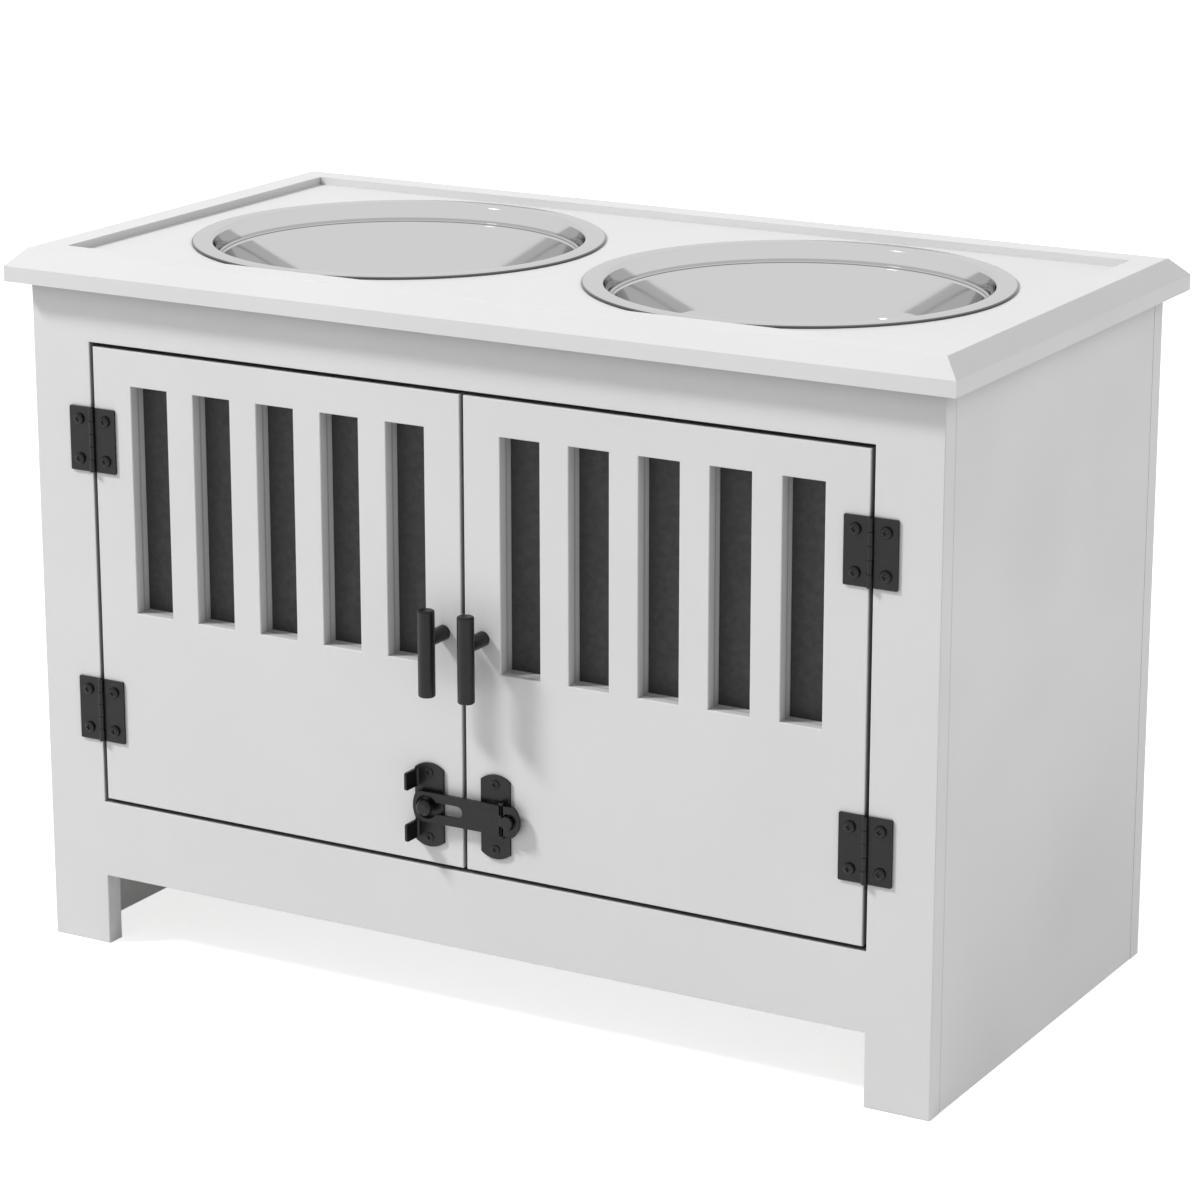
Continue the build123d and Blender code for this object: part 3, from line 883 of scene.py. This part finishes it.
@dataclass
class SwingLatch:
    """The keyhole bar, its keeper and its base. Its pin sits in the shade of the base's ears; a
    duller copy of the powder coat paints that shade.
    """

    pin_shaded_shine: float = 0.05
    pieces: tuple[str, ...] = ("keeper", "keeper_screws", "knob", "base", "base_screws", "bar")

    def dress(self, store: FinishStore) -> None:
        """Puts the store's powder coat on every piece; the pin's duller copy is painted shade."""
        store.dress([f"latch_{piece}" for piece in self.pieces], PowderCoat())
        # Painted shade: the pin gets a less shiny copy of the powder coat, so it reads as shaded.
        store.dress(["latch_pin"], PowderCoat("pin_iron_painted_shade", shine=self.pin_shaded_shine))


# ---------------------------------------------------------------- studio
@dataclass(frozen=True)
class Lamp:
    """A round soft lamp. Its share is what it adds to a white surface that faces it."""

    name: str
    direction: tuple[float, float, float]
    size: float
    share: float
    lights_matt: bool = True
    lights_gloss: bool = False


@dataclass
class Studio:
    """The pale floor, the soft light and the camera."""

    lamps: tuple[Lamp, ...] = (
        Lamp("key", (-0.60, -0.40, 0.69), 1.3, 0.71),
        Lamp("side", (0.70, 0.15, 0.70), 6.0, 0.225),
        Lamp("spark", (-0.50, -0.45, 0.74), 0.8, 0.015, lights_matt=False, lights_gloss=True),
    )
    camera_place: tuple[float, float, float] = (1.1243, -1.9556, 0.8578)
    camera_turn: float = math.radians(29.739)
    camera_tip: float = math.radians(15.922)
    focal_px: float = 4020.2
    frame_px: float = 1200.0
    sensor: float = 36.0
    floor_radius: float = 30.0
    floor_corners: int = 64
    floor_colour: Rgb = (0.73, 0.73, 0.73)
    floor_grain: Pattern = Pattern(40.0, 3.0)
    floor_grain_shade: float = 0.99
    floor_glow: float = 0.74
    sky_strength: float = 0.38
    lamp_distance: float = 8.0

    def place_camera(self) -> None:
        """Sets the camera up with a plain lens and no shift."""
        data = bpy.data.cameras.new("camera")
        data.sensor_width = self.sensor
        data.lens = self.focal_px / self.frame_px * self.sensor
        camera = bpy.data.objects.new("camera", data)
        camera.location = self.camera_place
        camera.rotation_euler = (math.pi / 2 - self.camera_tip, 0.0, self.camera_turn)
        bpy.context.scene.collection.objects.link(camera)
        bpy.context.scene.camera = camera

    def hang(self, lamp: Lamp) -> None:
        """Hangs one lamp, aimed at the middle of the cabinet.

        Args:
            lamp: Its size, its strength and where it hangs.
        """
        aim = (cad_low + cad_high) / 2
        toward = Vector(lamp.direction).normalized()
        data = bpy.data.lights.new(lamp.name, "AREA")
        data.shape = "DISK"
        data.size = lamp.size
        data.energy = lamp.share * (math.pi * self.lamp_distance) ** 2
        hung = bpy.data.objects.new(lamp.name, data)
        hung.location = aim + toward * self.lamp_distance
        hung.rotation_euler = toward.to_track_quat("Z", "Y").to_euler()
        hung.visible_diffuse = lamp.lights_matt
        hung.visible_glossy = lamp.lights_gloss
        bpy.context.scene.collection.objects.link(hung)

    def light_sky(self) -> None:
        """Makes the surroundings white to the eye and in reflections, and an even soft light."""
        world = bpy.data.worlds.new("sky")
        bpy.context.scene.world = world
        world.use_nodes = True
        tree = world.node_tree
        sky = tree.nodes["Background"]
        sky.inputs["Color"].default_value = rgba(WHITE)
        seen = self.seen_share(tree)
        strength = tree.nodes.new("ShaderNodeMapRange")
        tree.links.new(seen, strength.inputs["Value"])
        strength.inputs["To Min"].default_value = self.sky_strength
        tree.links.new(strength.outputs["Result"], sky.inputs["Strength"])

    @staticmethod
    def seen_share(tree: bpy.types.NodeTree) -> bpy.types.NodeSocket:
        """Gives 1 for what is seen directly, in gloss or through glass, and 0 for plain light.

        Args:
            tree: The nodes to add it to.

        Returns:
            The share.
        """
        path = tree.nodes.new("ShaderNodeLightPath")
        share = path.outputs["Is Camera Ray"]
        for name in ("Is Glossy Ray", "Is Transmission Ray"):
            larger = tree.nodes.new("ShaderNodeMath")
            larger.operation = "MAXIMUM"
            tree.links.new(share, larger.inputs[0])
            tree.links.new(path.outputs[name], larger.inputs[1])
            share = larger.outputs[0]
        return share

    def lay_floor(self) -> None:
        """Lays a wide pale floor. It glows a little, so it looks white but keeps a soft shadow."""
        verts = []
        for index in range(self.floor_corners):
            angle = math.tau * index / self.floor_corners
            x, y = self.floor_radius * math.cos(angle), self.floor_radius * math.sin(angle)
            verts.append((x, y, 0.0))
        mesh = bpy.data.meshes.new("floor")
        mesh.from_pydata(verts, [], [list(range(self.floor_corners))])
        floor = bpy.data.objects.new("floor", mesh)
        bpy.context.scene.collection.objects.link(floor)
        sheet = NodeSheet("pale_floor")
        grain = sheet.noise(sheet.place(), self.floor_grain)
        dark = rgba(self.floor_colour, self.floor_grain_shade)
        colour = sheet.blend(grain, rgba(self.floor_colour), dark)
        inputs = sheet.shader.inputs
        sheet.feed(inputs["Base Color"], colour)
        inputs["Roughness"].default_value = 1.0
        inputs["Specular IOR Level"].default_value = 0.0
        inputs["Emission Color"].default_value = rgba(WHITE)
        glow = sheet.maths("MULTIPLY", self.seen_share(sheet.tree), self.floor_glow)
        sheet.feed(inputs["Emission Strength"], glow)
        mesh.materials.append(sheet.material)

    def build(self) -> None:
        """Sets the whole studio up."""
        bpy.context.scene.view_settings.view_transform = "Standard"
        self.place_camera()
        for lamp in self.lamps:
            self.hang(lamp)
        self.light_sky()
        self.lay_floor()


def main() -> None:
    """Dresses every sub-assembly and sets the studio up."""
    logging.basicConfig(level=logging.INFO, format="%(name)s: %(message)s")
    store = FinishStore()
    CabinetBody().dress(store)
    TrayTop().dress(store)
    for side in Side:
        Door(side).dress(store)
        Handle(side).dress(store)
        Bowl(side).build(store)
    Hinges().dress(store)
    SwingLatch().dress(store)
    Studio().build()


if __name__ == "__main__":
    main()
